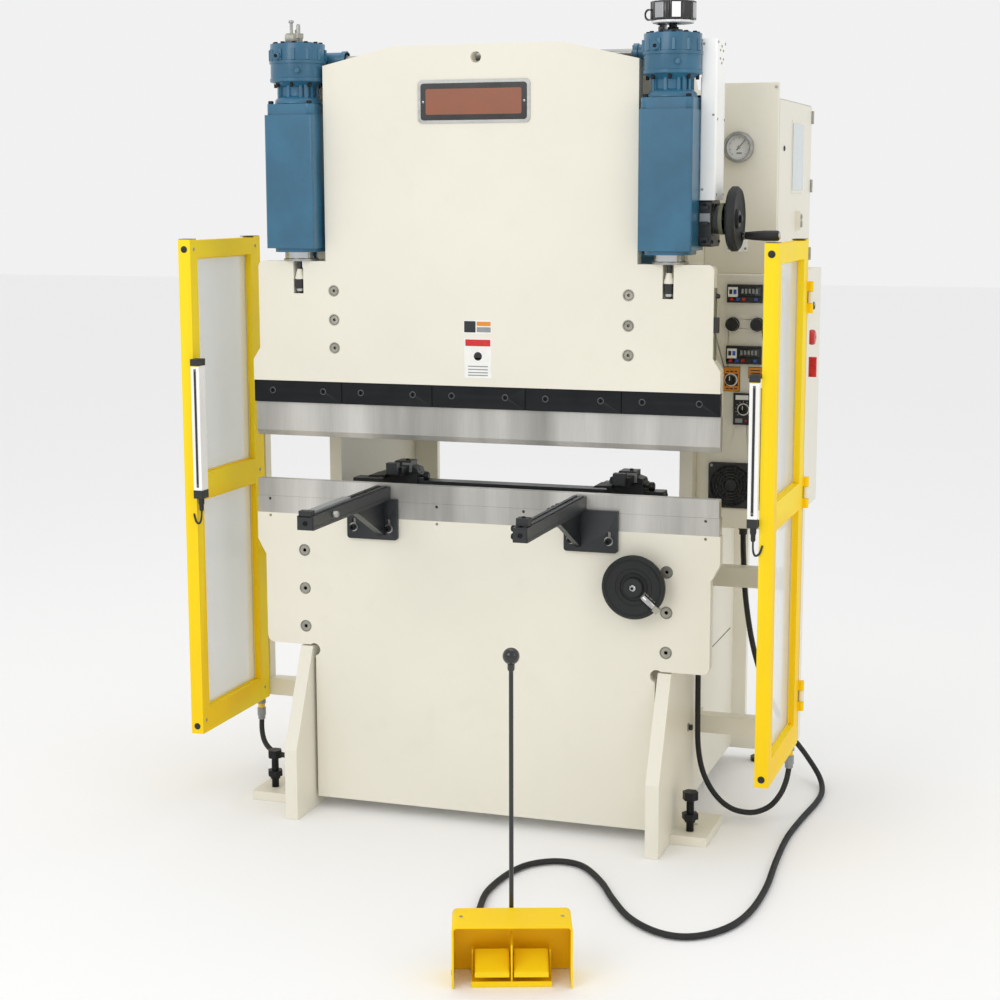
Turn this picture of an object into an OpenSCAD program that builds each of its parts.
// Hydraulic press brake, two side cylinders, down-acting ram, hinged side guards,
// hand-set depth stops, hand-driven backgauge and a loose two-pedal foot unit.
// Millimetres, +Z up, +Y towards the back. Origin on the floor under the middle
// of the whole outline (machine plus foot pedal).

/* [Bed and tooling] */
// Length of the bed, punch and die
bed_len = 1270; // [1200:10:1290]
// Height of the die's top face above the floor
die_top = 912; // [905:1:916]
// Gap between punch tip and die top with the ram up
daylight = 118; // [100:2:120]
// Width of the punch and die across the bend line
tool_t = 26; // [22:1:30]
// Width of the die's vee
vee_w = 14; // [8:1:18]

/* [Frame] */
// Thickness of each C-shaped side frame
frame_t = 35; // [28:1:35]
// Depth of the throat behind the tool line
throat_y = 215; // [190:5:230]
// Thickness of the bed plate
table_t = 32; // [26:1:32]
// Thickness of the ram plate
ram_t = 38; // [30:1:38]

/* [Hydraulics] */
// Piston rod diameter
rod_d = 85; // [70:1:90]
// Cylinder bore diameter
bore_d = 110; // [100:1:118]

/* [Guards] */
// Width of the guard frame profile
post_w = 35; // [30:1:36]
// Thickness of the guard panes
pane_t = 5; // [4:1:8]

/* [Controls] */
// Diameter of the side handwheel
wheel_d = 160; // [140:5:170]
// Diameter of the backgauge handwheel
front_wheel_d = 164; // [140:2:168]

/* [Foot pedal] */
// Width of the pedal hood
hood_w = 258; // [250:2:264]
// Height of the pedal hood
hood_h = 138; // [130:1:150]
// Overall height of the carrying rod
rod_h = 697; // [500:1:760]

/* [Hidden] */
$fn = 48;

cream = "#e6e0cc"; blue = "#2f7ea6"; yellow = "#f5d411"; black = "#23272a";
steel = "#b9bbbd"; orange = "#e08a1c"; white = "#f2f2ef"; red = "#d4201c";

// the machine is drawn about its own tool line; fy centres the whole outline on the origin
rear_y = 837;              // back of the cabinets and base bar
hood_x = 290;              // front left corner of the pedal hood
hood_y = -1031;
hood_a = 19;               // turn of the foot unit on the floor
hood_d = 110;
fy = -(hood_y + rear_y) / 2;

fx_in = 517 - frame_t;     // inner face of a side frame
tool_y = 13;               // tool centre plane
tip_z = die_top + daylight;
half = bed_len / 2;
cyl_x = 499.5;
cyl_y = 10;
worm_y = 70; worm_z = 2016;
wheel_y = 70; wheel_z = 1608;
fw_x = 428; fw_z = 686;    // backgauge handwheel and screw
door_x = 706;
hinge_x = 802; hinge_y = 303;

module place() translate([0, fy, 0]) children();
module both() { children(); mirror([1, 0, 0]) children(); }
// block given by its low and high corners
module blk(a, b) translate(a) cube([b[0] - a[0], b[1] - a[1], b[2] - a[2]]);
module cx(x0, x1, y, z, r, f = 48) translate([x0, y, z]) rotate([0, 90, 0]) cylinder(h = x1 - x0, r = r, $fn = f);
module cy(y0, y1, x, z, r, f = 48) translate([x, y0, z]) rotate([-90, 0, 0]) cylinder(h = y1 - y0, r = r, $fn = f);
module cz(z0, z1, x, y, r, f = 48) translate([x, y, z0]) cylinder(h = z1 - z0, r = r, $fn = f);
// rectangle with true round corners, in the sketch plane
module rrect(x0, y0, x1, y1, r) {
  translate([x0 + r, y0]) square([x1 - x0 - 2 * r, y1 - y0]);
  translate([x0, y0 + r]) square([x1 - x0, y1 - y0 - 2 * r]);
  for (x = [x0 + r, x1 - r], y = [y0 + r, y1 - r]) translate([x, y]) circle(r = r);
}
// sketch in Y and Z, pulled along X
module yz(x0, x1) translate([x0, 0, 0]) rotate([90, 0, 90]) linear_extrude(x1 - x0) children();
// sketch in X and Z, pulled along Y
module xz(y0, y1) translate([0, y1, 0]) rotate([90, 0, 0]) linear_extrude(y1 - y0) children();
module hexp(z0, z1, x, y, af) translate([x, y, z0]) cylinder(h = z1 - z0, r = af / sqrt(3), $fn = 6);

// ---------- cords ----------
// smooth curve through the given points
function cr(a, b, c, d, t) = 0.5 * ((2 * b) + (c - a) * t + (2 * a - 5 * b + 4 * c - d) * t * t + (3 * b - a - 3 * c + d) * t * t * t);
function smooth(p, n) = let (m = len(p)) concat([for (i = [0 : m - 2], k = [0 : n - 1])
  cr(p[max(i - 1, 0)], p[i], p[i + 1], p[min(i + 2, m - 1)], k / n)], [p[m - 1]]);
function unit(v) = v / norm(v);
module tube(p, r, sides = 8) {
  n = len(p);
  t = [for (i = [0 : n - 1]) unit(p[min(i + 1, n - 1)] - p[max(i - 1, 0)])];
  pts = [for (i = [0 : n - 1]) let (u = unit(cross(t[i], abs(t[i][2]) > 0.9 ? [0, 1, 0] : [0, 0, 1])), v = cross(t[i], u))
    for (k = [0 : sides - 1]) p[i] + r * (cos(360 * (k + 0.5) / sides) * u + sin(360 * (k + 0.5) / sides) * v)];
  faces = concat([[for (k = [0 : sides - 1]) k]],
    [for (i = [0 : n - 2], k = [0 : sides - 1]) let (a = i * sides + k, b = i * sides + (k + 1) % sides) [a, a + sides, b + sides, b]],
    [[for (k = [sides - 1 : -1 : 0]) (n - 1) * sides + k]]);
  polyhedron(points = pts, faces = faces, convexity = 4);
}
cable_r = 8;
cable_pts = [[316, -905, 26], [299, -856, 22], [270, -790, 13], [230, -700, 9], [202, -593, 9], [184, -480, 9], [196, -350, 9],
  [228, -272, 9], [288, -232, 9], [355, -248, 9], [427, -338, 9], [482, -436, 9], [544, -533, 9], [608, -593, 9],
  [668, -618, 9], [720, -607, 9], [765, -562, 9], [798, -490, 9], [815, -385, 9], [818, -239, 9], [808, -66, 9],
  [803, 122, 9], [814, 290, 9], [830, 440, 9], [828, 545, 9], [806, 625, 26], [762, 652, 78],
  [706, 630, 160], [664, 560, 280], [638, 480, 420], [625, 420, 570], [621, 394, 700], [620, 390, 757]];
conduit_r_pts = [[531, 288, 757], [531, 282, 700], [531, 268, 590], [531, 257, 480], [532, 252, 380], [533, 250, 280], [535, 250, 200],
  [545, 250, 140], [564, 250, 94], [592, 250, 56], [626, 250, 32], [662, 250, 24], [698, 250, 28], [734, 251, 48], [760, 255, 82], [773, 268, 118], [777, 281, 150]];
conduit_l_pts = [[-777, 281, 150], [-771, 268, 120], [-750, 240, 96], [-716, 210, 82], [-670, 185, 78], [-620, 172, 84], [-570, 168, 96], [-541, 168, 100]];

// ---------- frame ----------
module frame_profile() {
  difference() {
    polygon([[-121, 0], [-121, 193], [-1, 455], [table_t, 455], [table_t, 980], [58, 980], [58, 1520.8], [80, 1520.8], [80, 1880], [92, 1880],
      [92, 2020], [140, 2020], [220, 1930], [787, 1930], [787, 50], [240, 50], [205, 0]]);
    // throat with round inner corners
    translate([0, 870]) square([throat_y, 220]);
    translate([0, 830]) square([throat_y - 40, 300]);
    for (z = [870, 1090]) translate([throat_y - 40, z]) circle(r = 40);
  }
}
module side_frame(pad_out, pad_back) {
  difference() {
    union() {
      yz(fx_in, 517) frame_profile();
      // guide bar for the ram
      blk([446, 60, 1160], [fx_in, 96, 1500]);
      // outer foot pad
      blk([517, 5, 0], [pad_out, pad_back, 25]);
    }
    // bolt holes for the bed plate
    for (z = [510, 615, 720]) cy(table_t - 1, table_t + 51, 502, z, 8.2);
    // anchor hole and jack-screw hole in the pad
    cz(-1, 26, 560, 110, 9);
  }
}
module side_frame_right() place() color(cream) difference() { side_frame(614, 205); cz(-1, 26, 560, 52, 10.2); cx(498, 530, 203, 260, 6); }
module side_frame_left() place() color(cream) mirror([1, 0, 0]) difference() { side_frame(678, 152); cz(-1, 26, 632, 60, 10.2); }

module rear_plate() place() color(cream) difference() {
  union() {
    blk([-517, 787, 90], [517, 807, 1930]);
    blk([-557, 787, 90], [557, 807, 790]);
    // base bar, tie bars and the backgauge's rear bar
    blk([-655, 787, 40], [655, rear_y, 90]);
    blk([-fx_in, 100, 1880], [fx_in, 130, 2016]);
    blk([-fx_in, 640, 640], [fx_in, 665, 790]);
    for (x = [-556, 476]) blk([x, 807, 90], [x + 80, 820, 790]);
    blk([-fx_in, 560, 1120], [fx_in, 787, 1140]);
  }
  // clear view and reach through the back
  blk([-409, 780, 590], [409, 830, 1110]);
  for (x = [-600, 600]) cz(39, 91, x, 812, 10.2);
  for (x = [-560, 560]) cz(39, 91, x, 822, 9);
  // screw and rod seats
  cy(639, 666, fw_x, fw_z, 8.05);
  for (x = [-395, 395]) cy(639, 666, x, 750, 12.1);
}

module socket_head(y0, x, z, r, d) difference() { cy(y0, y0 + d, x, z, r); cy(y0 - 1, y0 + d * 0.55, x, z, r * 0.5, 6); }
module jack(x, y, zb, zt) {
  cz(0, zb, x, y, 10);
  cz(zb, zb + 8, x, y, 14);
  hexp(zb + 8, zb + 24, x, y, 38);
  cz(zb + 24, zt - 22, x, y, 10);
  hexp(zt - 22, zt, x, y, 36);
}
module frame_fasteners() place() color(black) {
  // bed plate bolts
  for (s = [-1, 1], z = [510, 615, 720]) { socket_head(3, 502 * s, z, 14.5, 17); cy(20, 82, 502 * s, z, 8); }
  // floor jack screws
  jack(560, 52, 50, 132);
  jack(-632, 60, 50, 132);
  for (x = [-600, 600]) { cz(0, 12, x, 812, 28); cz(12, 110, x, 812, 10); hexp(91, 107, x, 812, 30); }
  // arm clamp bolts in the bracket slots
  for (s = [[-352, 794], [-252, 794], [252, 794], [352, 794]]) { socket_head(-24, s[0], s[1], 8.5, 10); cy(-14, 10, s[0], s[1], 5); }
}

module table() place() color(cream) difference() {
  xz(0, table_t) difference() {
    union() {
      translate([-474, 32]) square([948, 440]);
      rrect(-616, 459, 616, 730, 20);
      polygon([[-half - 4, 819], [-half - 4, 745], [-618, 706], [618, 706], [half + 4, 745], [half + 4, 819]]);
    }
    for (s = [-1, 1]) translate([478 * s, 446]) circle(r = 17);
  }
  for (s = [-1, 1], z = [510, 615, 720]) { cy(-1, 20.2, 502 * s, z, 15); cy(19, table_t + 1, 502 * s, z, 8.2); }
  for (x = [-352, -252, 252, 352]) cy(-1, 10.2, x, 794, 5.2);
  for (x = [-601, -361, -120, 120, 361, 601]) cy(-1, 12, x, 811, 4);
  cy(-1, table_t + 1, fw_x, fw_z, 10.06);
}
module die_rail() place() color(steel) difference() {
  blk([-half - 1, 0, 819], [half + 1, table_t, 865]);
  for (x = [-601, -361, -120, 120, 361, 601]) cy(-1, 12, x, 857, 4);
}
module die() place() color(steel) difference() {
  blk([-half, tool_y - tool_t / 2, 865], [half, tool_y + tool_t / 2, die_top]);
  yz(-half - 1, half + 1) polygon([[tool_y - vee_w / 2, die_top + 0.01], [tool_y, die_top - vee_w / 2], [tool_y + vee_w / 2, die_top + 0.01], [tool_y, die_top + 9]]);
}

// ---------- hydraulics ----------
module cylinders() place() color(blue) both() difference() {
  union() {
    translate([0, 0, 1531]) linear_extrude(342) rrect(432, -60, 567, 80, 6);
    translate([0, 0, 1521]) linear_extrude(10) rrect(440, -52, 559, 72, 40);
  }
  cz(1520, 1562, cyl_x, cyl_y, rod_d / 2 + 0.06, 96);
  cz(1561, 1853, cyl_x, cyl_y, bore_d / 2, 96);
}
module stop_gearboxes() place() color(blue) {
  for (s = [-1, 1]) difference() {
    union() {
      translate([0, 0, 1873]) linear_extrude(28) rrect(s * cyl_x - 65, cyl_y - 65, s * cyl_x + 65, cyl_y + 65, 16);
      cz(1901, 1957, s * cyl_x, cyl_y, 48);
      for (a = [45 : 90 : 315]) translate([s * cyl_x, cyl_y, 1901]) rotate([0, 0, a]) blk([30, -5, 0], [56, 5, 56]);
      cz(1957, 2054, s * cyl_x, cyl_y, 71);
      // worm housing
      cx(s * cyl_x - (s < 0 ? 60 : 112), s * cyl_x + (s < 0 ? 114 : 68), worm_y, worm_z, 20);
    }
    cz(1872, 2055, s * cyl_x, cyl_y, 14.06);
    cz(1996, 2036, s * cyl_x, cyl_y, 46);
    cx(s * cyl_x - 40, s * cyl_x + 40, worm_y, worm_z, 16);
    cx(s * cyl_x - 120, s * cyl_x + 120, worm_y, worm_z, 10.06);
  }
}
function tang(y0, z0, r0, z1, r1) = let (d = z1 - z0, sa = (r0 - r1) / d, ca = sqrt(1 - sa * sa))
  [[y0 + r0 * ca, z0 + r0 * sa], [y0 + r1 * ca, z1 + r1 * sa], [y0 - r1 * ca, z1 + r1 * sa], [y0 - r0 * ca, z0 + r0 * sa]];
module belt_line(g) {
  translate([wheel_y, wheel_z]) circle(r = 30 + g);
  translate([worm_y, worm_z]) circle(r = 15 + g);
  polygon(tang(wheel_y, wheel_z, 30 + g, worm_z, 15 + g));
}
module drive_belt() place() color(black) yz(578, 592) difference() { belt_line(4); belt_line(0.4); }
module belt_case() place() color(black) difference() {
  union() {
    yz(567, 599) rrect(20, 1540, 122, 1654, 12);
    cx(599, 622, wheel_y, wheel_z, 37);
    for (z = [1556, 1594, 1632]) blk([572, 14, z], [592, 21, z + 8]);
  }
  yz(574, 596) { translate([wheel_y, wheel_z]) circle(r = 38); translate([wheel_y - 38, wheel_z]) square([76, 60]); }
  cx(560, 630, wheel_y, wheel_z, 12.06);
}
module drive_cover() place() color(white) difference() {
  translate([0, 0, 1654]) linear_extrude(388) rrect(567, 22, 608, 118, 5);
  translate([0, 0, 1653]) linear_extrude(387) rrect(572.5, 24.5, 605.5, 115.5, 3);
  cx(560, 573, worm_y, worm_z, 20.3);
  cz(1950, 2056, cyl_x, cyl_y, 71.4);
}
module power_unit() place() color(blue) {
  // tank with its lid, filler and level gauge
  difference() {
    union() { blk([-380, 440, 1140], [380, 786, 1500]); blk([-392, 430, 1500], [392, 786, 1506]); }
    blk([-376, 444, 1144], [376, 782, 1496]);
  }
  cz(1506, 1540, -320, 520, 28);
  blk([-30, 434, 1230], [10, 441, 1400]);
  // motor on its foot, bell housing and pump
  cx(-210, 70, 610, 1620, 88);
  cx(-250, -209, 610, 1620, 80);
  cx(69, 120, 610, 1620, 66);
  cx(119, 200, 610, 1620, 42);
  blk([-180, 550, 1505], [40, 670, 1545]);
  blk([-120, 570, 1690], [-20, 650, 1756]);
  // valve block and its two solenoid valves
  blk([240, 560, 1505], [360, 680, 1660]);
  for (x = [252, 318]) blk([x, 590, 1659], [x + 30, 650, 1720]);
  cx(199, 241, 610, 1600, 12);
  // pressure pipes to the two cylinders
  for (k = [0, 1]) {
    cy(490 - 40 * k, 561, 280 + 40 * k, 1600 + 40 * k, 8);
    cx(-450 + 0, 450, 498 - 40 * k, 1600 + 40 * k, 8);
  }
  for (s = [-1, 1]) {
    cy(80, 498, 450 * s, 1600, 8);
    cy(112, 458, 450 * s, 1640, 8);
    cz(1632, 1828, 450 * s, 120, 8);
    cy(80, 120, 450 * s, 1820, 8);
  }
}

// ---------- cabinets ----------
module shell(a, b, t) difference() { blk(a, b); blk([a[0] + t, a[1] + t, a[2] + t], [b[0] - t, b[1] - t, b[2] - t]); }
module electric_cabinet() place() color(cream) difference() {
  union() {
    blk([517, 320, 1463], [door_x, 335, 1952]);
    blk([519, 335, 1463], [door_x - 3, rear_y, 1913]);
  }
  blk([522, 337, 1467], [door_x + 1, rear_y - 3, 1909]);
  // front panel keeps its full height; the hollow starts behind it
  cy(310, 340, 606, 1788, 12);
}
module cabinet_door() place() color(cream) {
  blk([door_x - 2.6, 338, 1466], [door_x + 0.4, rear_y - 2, 1910]);
  // sight window frame and pull
  blk([door_x + 0.4, 516, 1670], [door_x + 2.4, 700, 1863]);
  blk([door_x + 0.4, 600, 1570], [door_x + 14, 622, 1622]);
}
module control_box() place() color(cream) difference() {
  shell([517, 258, 797], [747, 815, 1463], 3);
  for (x = [609, 674]) cy(250, 265, x, 1335, 11.5);
  cy(250, 265, 607, 1190, 9.3); cy(250, 265, 642, 1114, 5.3);
  cx(740, 750, 515, 1371, 7.3); cx(740, 750, 500, 1287, 9.5); cx(740, 750, 500, 1207, 8.1);
  cy(250, 265, 612, 912, 54);
  cz(790, 802, 620, 390, 9); cz(790, 802, 531, 288, 9);
}
module bezel(x0, z0, x1, z1, d) difference() { blk([x0, 258 - d, z0], [x1, 258, z1]); blk([x0 + 6, 258 - d - 1, z0 + 6], [x1 - 6, 258 - d + 3, z1 - 6]); }
module panel_fittings() place() color(black) {
  bezel(594, 1391, 686, 1438, 10);
  bezel(594, 1232, 686, 1279, 10);
  // button and selector collars
  for (x = [609, 674]) difference() { cy(252, 258, x, 1335, 18); cy(250, 260, x, 1335, 10.86); }
  difference() { blk([587, 255, 1160], [630, 258, 1224]); cy(250, 260, 607, 1190, 8.86); }
  blk([652, 255, 1196], [690, 258, 1224]);
  difference() { blk([615, 250, 1073], [660, 258, 1156]); cy(240, 260, 642, 1114, 4.86); }
  // fan grille: square rim and rings
  difference() {
    xz(250, 258) rrect(552, 852, 672, 972, 8);
    cy(249, 256, 612, 912, 55);
    cy(249, 260, 612, 912, 52);
  }
  for (r = [14 : 8 : 46]) translate([612, 252, 912]) rotate([90, 0, 0]) difference() { cylinder(h = 2, r = r + 1.2); translate([0, 0, -1]) cylinder(h = 4, r = r - 1.2); }
  for (a = [45, 135]) translate([612, 252, 912]) rotate([0, a, 0]) blk([-56, -0.4, -2], [56, 2, 2]);
  // side switch plates
  difference() { blk([747, 460, 1168], [750, 548, 1246]); cx(746, 756, 500, 1207, 7.66); }
  difference() { cx(747, 755, 500, 1287, 16); cx(746, 756, 500, 1287, 9.06); }
  difference() { cx(747, 752, 515, 1371, 13); cx(746, 756, 515, 1371, 6.86); }
  // fan housing behind the panel, with the motor on its spider
  difference() { xz(261, 299) rrect(552, 852, 672, 972, 8); cy(260, 300, 612, 912, 55); }
  cy(288, 299, 612, 912, 17);
  for (a = [0, 90]) translate([612, 299, 912]) rotate([0, a, 0]) blk([-56, -4, -4], [56, 0, 4]);
  // cable glands under the box
  for (p = [[620, 390], [531, 288]]) difference() { union() { cz(772, 797, p[0], p[1], 13); cz(758.5, 772, p[0], p[1], 11); } cz(756, 798, p[0], p[1], 6); }
  // gland where the left guard's lead enters the frame
  difference() { cx(-539.5, -517, 168, 100, 12); cx(-542, -516, 168, 100, 6); }
}
module pressure_gauge() place() color(black) difference() {
  union() { cy(296, 318, 606, 1788, 34, 64); cy(312, 320, 606, 1788, 40, 64); cy(320, 345, 606, 1788, 10); }
  cy(290, 314, 606, 1788, 29, 64);
}
module gauge_needle() place() color(black) {
  cy(310.4, 313.6, 606, 1788, 3);
  translate([606, 310.6, 1788]) rotate([0, 40, 0]) blk([-1, 0, -10], [1, 1, 24]);
}

// ---------- ram ----------
module ram() place() color(cream) difference() {
  union() {
  ram_web();
  xz(-12, -12 + ram_t) difference() {
    union() {
      polygon([[-421, 1400], [-421, 1997], [-224, 2042], [224, 2042], [421, 1997], [421, 1400]]);
      rrect(-615, 1250, 615, 1497, 16);
      polygon([[-half, 1180], [-half, 1235], [-615, 1266], [615, 1266], [half, 1235], [half, 1180]]);
    }
    translate([-2, 2010]) circle(r = 14);
    for (s = [-1, 1]) translate([s * cyl_x - 14, 1478]) square([28, 30]);
  }
  }
  for (s = [-1, 1]) {
    for (z = [1270, 1344, 1420]) { cy(-13, 2, 399 * s, z, 12.5); cy(1, 30, 399 * s, z, 7.2); }
    // window for the piston rod's nut
    blk([s * cyl_x - 14, -13, 1412], [s * cyl_x + 14, 12, 1479]);
  }
}
// web below the ram plate that the punch tang bears on
module ram_web() xz(16, -12 + ram_t) translate([-half, 1121]) square([2 * half, 60]);
module gib_blocks() place() color(steel) both() {
  difference() {
    union() {
      blk([360, -12 + ram_t, 1255], [445.8, 114, 1435]);
      blk([443, -12 + ram_t, 1255], [478, 59.8, 1435]);
      blk([443, 96.2, 1255], [474, 114, 1435]);
    }
    for (z = [1270, 1344, 1420]) cy(20, 70, 399, z, 7.2);
  }
  for (z = [1270, 1344, 1420]) { socket_head(-9, 399, z, 12, 11); cy(2, 68, 399, z, 7); }
}
module clamp_bars() place() color(black) {
  w = (2 * half - 4 * 2) / 5;
  for (i = [0 : 4]) {
    x0 = -half + i * (w + 2);
    difference() {
      xz(-9, 6) rrect(x0, 1122, x0 + w, 1179.5, 2);
      for (k = [0.21, 0.79]) { cy(-10, -1, x0 + k * w, 1153, 8); cy(-2, 7, x0 + k * w, 1153, 4.2); }
    }
    for (k = [0.21, 0.79]) socket_head(-8.5, x0 + k * w, 1153, 7.5, 7.5);
  }
}
module punch() place() color(steel) yz(-half, half) difference() {
  polygon([[tool_y - tool_t / 2, 1121], [tool_y - tool_t / 2, tip_z + 15], [tool_y - 1, tip_z], [tool_y + 1, tip_z],
    [tool_y + tool_t / 2, tip_z + 15], [tool_y + tool_t / 2, 1121], [15.9, 1121], [15.9, 1150], [6.1, 1150], [6.1, 1121]]);
}
module piston_rods() place() color("silver") for (s = [-1, 1]) {
  cz(1497, 1800, s * cyl_x, cyl_y, rod_d / 2, 96);
  cz(1795, 1845, s * cyl_x, cyl_y, bore_d / 2 - 0.06, 96);
  cz(1455, 1497, s * cyl_x, 0, 6);
  cz(1418, 1455, s * cyl_x, 0, 11);
}

// ---------- stops and drive ----------
module stop_spindle(s) {
  cz(1880, 2070, s * cyl_x, cyl_y, 14);
  cz(2001, 2031, s * cyl_x, cyl_y, 43.6, 96);
}
module stop_spindle_right() place() color("silver") { stop_spindle(1); cz(2070, 2086, cyl_x, cyl_y, 10); difference() { cz(2086, 2130, cyl_x, cyl_y, 56, 64); for (a = [0 : 30 : 330]) translate([cyl_x + 58 * cos(a), cyl_y + 58 * sin(a), 2085]) cylinder(h = 50, r = 5); } }
module stop_spindle_left() place() color("silver") { stop_spindle(-1); hexp(2070, 2082, -cyl_x, cyl_y, 30); cz(2082, 2092, -cyl_x, cyl_y, 6); }
module sync_shaft() place() color(steel) {
  cx(-555, 600, worm_y, worm_z, 10);
  for (s = [-1, 1]) cx(s * cyl_x - 30, s * cyl_x + 30, worm_y, worm_z, 13.8);
  cx(579, 591, worm_y, worm_z, 14.9);
}
module hand_wheel() place() color(black) {
  cx(575, 645, wheel_y, wheel_z, 12);
  cx(579, 591, wheel_y, wheel_z, 29.9);
  cx(628, 656, wheel_y, wheel_z, 24);
  translate([646, wheel_y, wheel_z]) rotate([0, 90, 0]) rotate_extrude($fn = 96) polygon([[20, -4], [wheel_d / 2 - 14, 2], [wheel_d / 2 - 14, -6], [wheel_d / 2 - 6, -10], [wheel_d / 2, -4], [wheel_d / 2, 8], [wheel_d / 2 - 6, 14], [wheel_d / 2 - 14, 10], [20, 6]]);
  cx(646, 742, 120, 1566, 5);
}
module wheel_grip() place() color(black) difference() {
  translate([664, 120, 1566]) rotate([0, 90, 0]) rotate_extrude($fn = 64) polygon([[5.06, 0], [9, 0], [11, 20], [13, 50], [13, 82], [11, 86], [5.06, 86]]);
  cx(660, 668, 120, 1566, 4);
}

// ---------- backgauge ----------
module gauge_guides() place() color("silver") for (x = [-395, 395]) cy(table_t, 665, x, 750, 12);
module backgauge_beam() place() color(black) difference() {
  union() {
    blk([-441, 200, 868], [441, 250, 893]);
    for (s = [-1, 1]) { blk([s * 395 - 24, 198, 722], [s * 395 + 24, 262, 778]); blk([s * 395 - 10, 200, 778], [s * 395 + 10, 250, 868]); }
    blk([400, 205, 660], [456, 245, 722]);
  }
  for (x = [-395, 395]) cy(190, 270, x, 750, 12.06);
  cy(190, 270, fw_x, fw_z, 10.06);
}
module finger() {
  difference() { blk([-50, 192, 860], [50, 262, 912]); blk([-51, 199.8, 850], [51, 250.2, 893.2]); }
  blk([-22, 150, 912], [22, 240, 934]);
  blk([-16, 128, 918], [16, 150, 948]);
  cz(912, 922, 38, 225, 9);
}
module finger_left() place() color(black) translate([-298, 0, 0]) finger();
module finger_right() place() color(black) translate([340, 0, 0]) finger();
module front_wheel() place() color(black) {
  cy(-40, 640, fw_x, fw_z, 10);
  cy(640, 664, fw_x, fw_z, 8);
  cy(-56, -8, fw_x, fw_z, 24);
  difference() {
    translate([fw_x, -46, fw_z]) rotate([90, 0, 0]) rotate_extrude($fn = 96) polygon([[20, -6], [front_wheel_d / 2 - 14, -4], [front_wheel_d / 2 - 6, -10], [front_wheel_d / 2, -4], [front_wheel_d / 2, 8], [front_wheel_d / 2 - 5, 13], [front_wheel_d / 2 - 14, 8], [20, 2]]);
    translate([fw_x + 45, -48, fw_z - 39]) rotate([0, 40, 0]) blk([-30, -20, -12], [30, 10, 12]);
  }
}
module front_grip() place() color("silver") translate([fw_x + 45, -52, fw_z - 39]) rotate([0, 40, 0]) {
  cx(-26, 22, 0, 0, 8);
  blk([22, -4, -9], [28.6, 5, 9]);
}

// ---------- support arms ----------
module arm(x0, x1, b0, b1, h0, h1, slots) {
  difference() {
    union() {
      blk([x0, -500, 871], [x1, -1, 906]);
      xz(-12, -0.2) { rrect(b0, 763, b1, 826, 8); rrect(h0, 763, h1, 872, 8); translate([min(x0, h0), 815]) square([max(x1, h1) - min(x0, h0), 57]); }
      yz(x0 + 10, x1 - 12) polygon([[-12, 775], [-12, 872], [-190, 872], [-190, 862]]);
    }
    for (x = slots) { blk([x - 5.4, -13, 794], [x + 5.4, 1, 814]); cy(-13, 1, x, 794, 5.4); cy(-13, 1, x, 814, 5.4); }
  }
}
module arm_left() place() color(black) { arm(-293, -250, -371, -228, -271, -228, [-352, -252]); }
module arm_right() place() color(black) { arm(254, 290, 232, 375, 326, 375, [252, 352]); }

// ---------- guards ----------
module guard_arms() place() color(cream) both() {
  for (z = [[218, 266], [628, 680]]) difference() { blk([517, 308, z[0]], [758.5, 356, z[1]]); blk([516, 311, z[0] + 3], [760, 353, z[1] - 3]); }
  difference() {
    union() {
      blk([758.5, 308, 218], [794, 344, 1430]);
      // fixed hinge knuckles
      for (z = [330, 880, 1390]) { cz(z, z + 30, hinge_x, hinge_y, 7); blk([790, 306.5, z], [802, 309.5, z + 30]); }
    }
    for (z = [330, 880, 1390]) cz(z - 1, z + 31, hinge_x, hinge_y, 3.06);
  }
}
module guard_frame() {
  difference() {
    blk([759, -121, 215], [794, 300, 1551]);
    blk([758, -80, 281], [795, 240, 857]);
    blk([758, -80, 927], [795, 240, 1505]);
    // groove for the panes
    blk([776 - pane_t / 2, -86, 275], [776 + pane_t / 2, 246, 863]);
    blk([776 - pane_t / 2, -86, 921], [776 + pane_t / 2, 246, 1511]);
  }
  for (z = [330, 880, 1390]) {
    for (k = [[-26, -0.6], [30.6, 56]]) { cz(z + k[0], z + k[1], hinge_x, hinge_y, 7); blk([790, 297, z + k[0]], [802, 300, z + k[1]]); }
    cz(z - 1, z + 31, hinge_x, hinge_y, 3);
  }
  // post caps and the conduit fitting
  for (y = [-103, 281]) blk([759, y - 18, 1551], [794, y + 18, 1554]);
  cz(153.5, 215, 777, 281, 10);
}
module guard_right() place() color(yellow) guard_frame();
module guard_left() place() color(yellow) mirror([1, 0, 0]) guard_frame();
module panes() for (z = [[275, 863], [921, 1511]]) blk([776 - pane_t / 2 + 0.1, -85.8, z[0] + 0.2], [776 + pane_t / 2 - 0.1, 245.8, z[1] - 0.2]);
module guard_right_panes() place() color([0.85, 0.88, 0.9, 0.4]) panes();
module guard_left_panes() place() color([0.85, 0.88, 0.9, 0.4]) mirror([1, 0, 0]) panes();
module curtain() {
  blk([733, -140, 878], [757, -105, 1236]);
  for (z = [890, 1210]) blk([757, -132, z], [759, -112, z + 22]);
  cz(856, 878, 745, -122, 7);
}
module light_curtain_right() place() color(white) curtain();
module light_curtain_left() place() color(white) mirror([1, 0, 0]) curtain();

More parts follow.
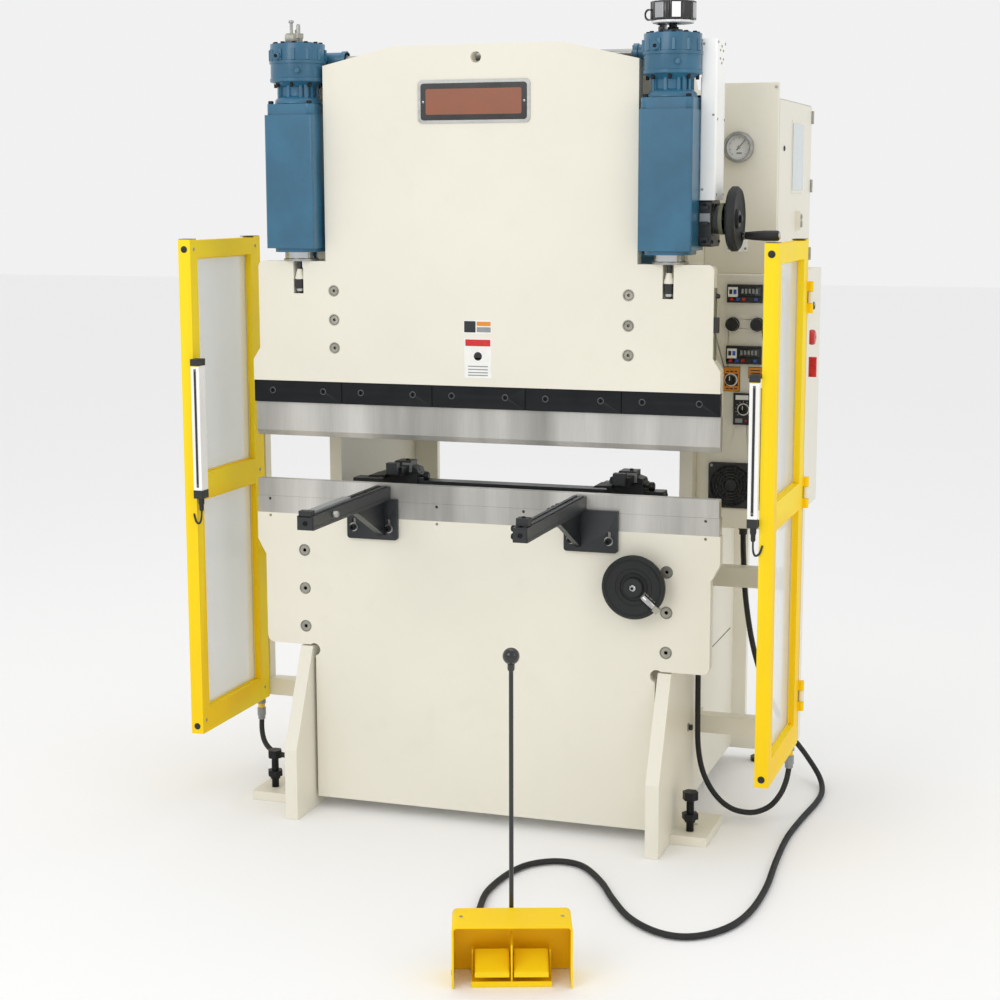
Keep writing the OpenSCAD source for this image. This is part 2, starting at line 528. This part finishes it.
// ---------- panel controls ----------
module button_left() place() color(black) { cy(239, 247.5, 609, 1335, 16.5); cy(247, 262.5, 609, 1335, 10.8); cy(262, 264.5, 609, 1335, 14); }
module button_right() place() color(black) { cy(239, 247.5, 674, 1335, 16.5); cy(247, 262.5, 674, 1335, 10.8); cy(262, 264.5, 674, 1335, 14); }
module selector_knob() place() color(black) { cy(242, 254.5, 607, 1190, 13); cy(254.5, 270, 607, 1190, 8.8); blk([604, 236, 1178], [610, 242, 1202]); }
module dial_knob() place() color(black) { cy(236, 249.5, 642, 1114, 11); cy(249.5, 270, 642, 1114, 4.8); }
module estop_button() place() color(red) { cx(768, 784, 500, 1287, 19); cx(742, 768, 500, 1287, 9); cx(739, 742, 500, 1287, 12); }
module main_switch() place() color(red) { cx(750.5, 760, 500, 1207, 30); blk([760, 494, 1180], [790, 506, 1234]); cx(740, 750.5, 500, 1207, 7.6); }
module side_knob() place() color(black) { cx(752.5, 778, 515, 1371, 10); cx(740, 752.5, 515, 1371, 6.8); }
module fan_rotor() place() color(black) {
  cy(262, 284, 612, 912, 18);
  for (a = [0 : 51.4286 : 359]) translate([612, 262, 912]) rotate([0, a, 0]) translate([16, 4, -9]) rotate([25, 0, 0]) cube([32, 3, 18]);
}

// ---------- foot unit ----------
module foot() place() translate([hood_x, hood_y, 0]) rotate([0, 0, hood_a]) children();
module pedal_hood() color(yellow) foot() difference() {
  union() {
    difference() { xz(0, hood_d) rrect(0, -30, hood_w, hood_h, 12); xz(-1, hood_d - 4) rrect(4, -40, hood_w - 4, hood_h - 4, 8); }
  }
  blk([-1, -1, -40], [hood_w + 1, hood_d + 1, 0]);
  cy(hood_d - 6, hood_d + 1, 65, 26, 6);
}
module pedal_base() color(yellow) foot() {
  difference() {
    union() {
      blk([42, 8, 0], [214, hood_d - 4, 4]);
      blk([126, 12, 3], [130, 92, 92]);
      blk([42, 8, 3], [214, 11, 12]);
      // lugs for the pivot pin
      for (x = [42, 210]) blk([x, 68, 3], [x + 4, 92, 60]);
    }
  }
  cx(43, 213, 80, 46, 5);
}
module carry_rod() color(black) foot() {
  cz(20, rod_h - 12, 129, hood_d + 12, 5);
  translate([129, hood_d + 12, rod_h]) sphere(r = 18.5);
  blk([117, hood_d, 22], [141, hood_d + 12, 60]);
}
module pedal(x0) color(yellow) foot() yz(x0, x0 + 74) difference() {
  union() {
    polygon([[12, 20], [16, 20], [16, 27.5], [70, 54.5], [76, 46], [84, 46], [88, 53], [70, 60], [12, 31]]);
    translate([80, 46]) circle(r = 10);
  }
  translate([80, 46]) circle(r = 5.06);
}
module pedal_left() pedal(49);
module pedal_right() pedal(133);
module pedal_cable() color(black) place() tube(smooth(cable_pts, 2), cable_r);
module conduit_right() color(black) place() tube(smooth(conduit_r_pts, 1), 7.5);
module conduit_left() color(black) place() tube(smooth(conduit_l_pts, 1), 7.5);

side_frame_left();
side_frame_right();
rear_plate();
frame_fasteners();
table();
die_rail();
die();
cylinders();
stop_gearboxes();
drive_cover();
belt_case();
drive_belt();
electric_cabinet();
control_box();
panel_fittings();
pressure_gauge();
power_unit();
gauge_guides();
guard_arms();
pedal_base();
pedal_hood();
carry_rod();
pedal_cable();
conduit_left();
conduit_right();
ram();
gib_blocks();
clamp_bars();
punch();
piston_rods();
guard_left();
guard_left_panes();
light_curtain_left();
guard_right();
guard_right_panes();
light_curtain_right();
hand_wheel();
wheel_grip();
sync_shaft();
stop_spindle_left();
stop_spindle_right();
front_wheel();
front_grip();
backgauge_beam();
finger_left();
finger_right();
arm_left();
arm_right();
cabinet_door();
button_left();
button_right();
selector_knob();
dial_knob();
estop_button();
main_switch();
side_knob();
gauge_needle();
fan_rotor();
pedal_left();
pedal_right();
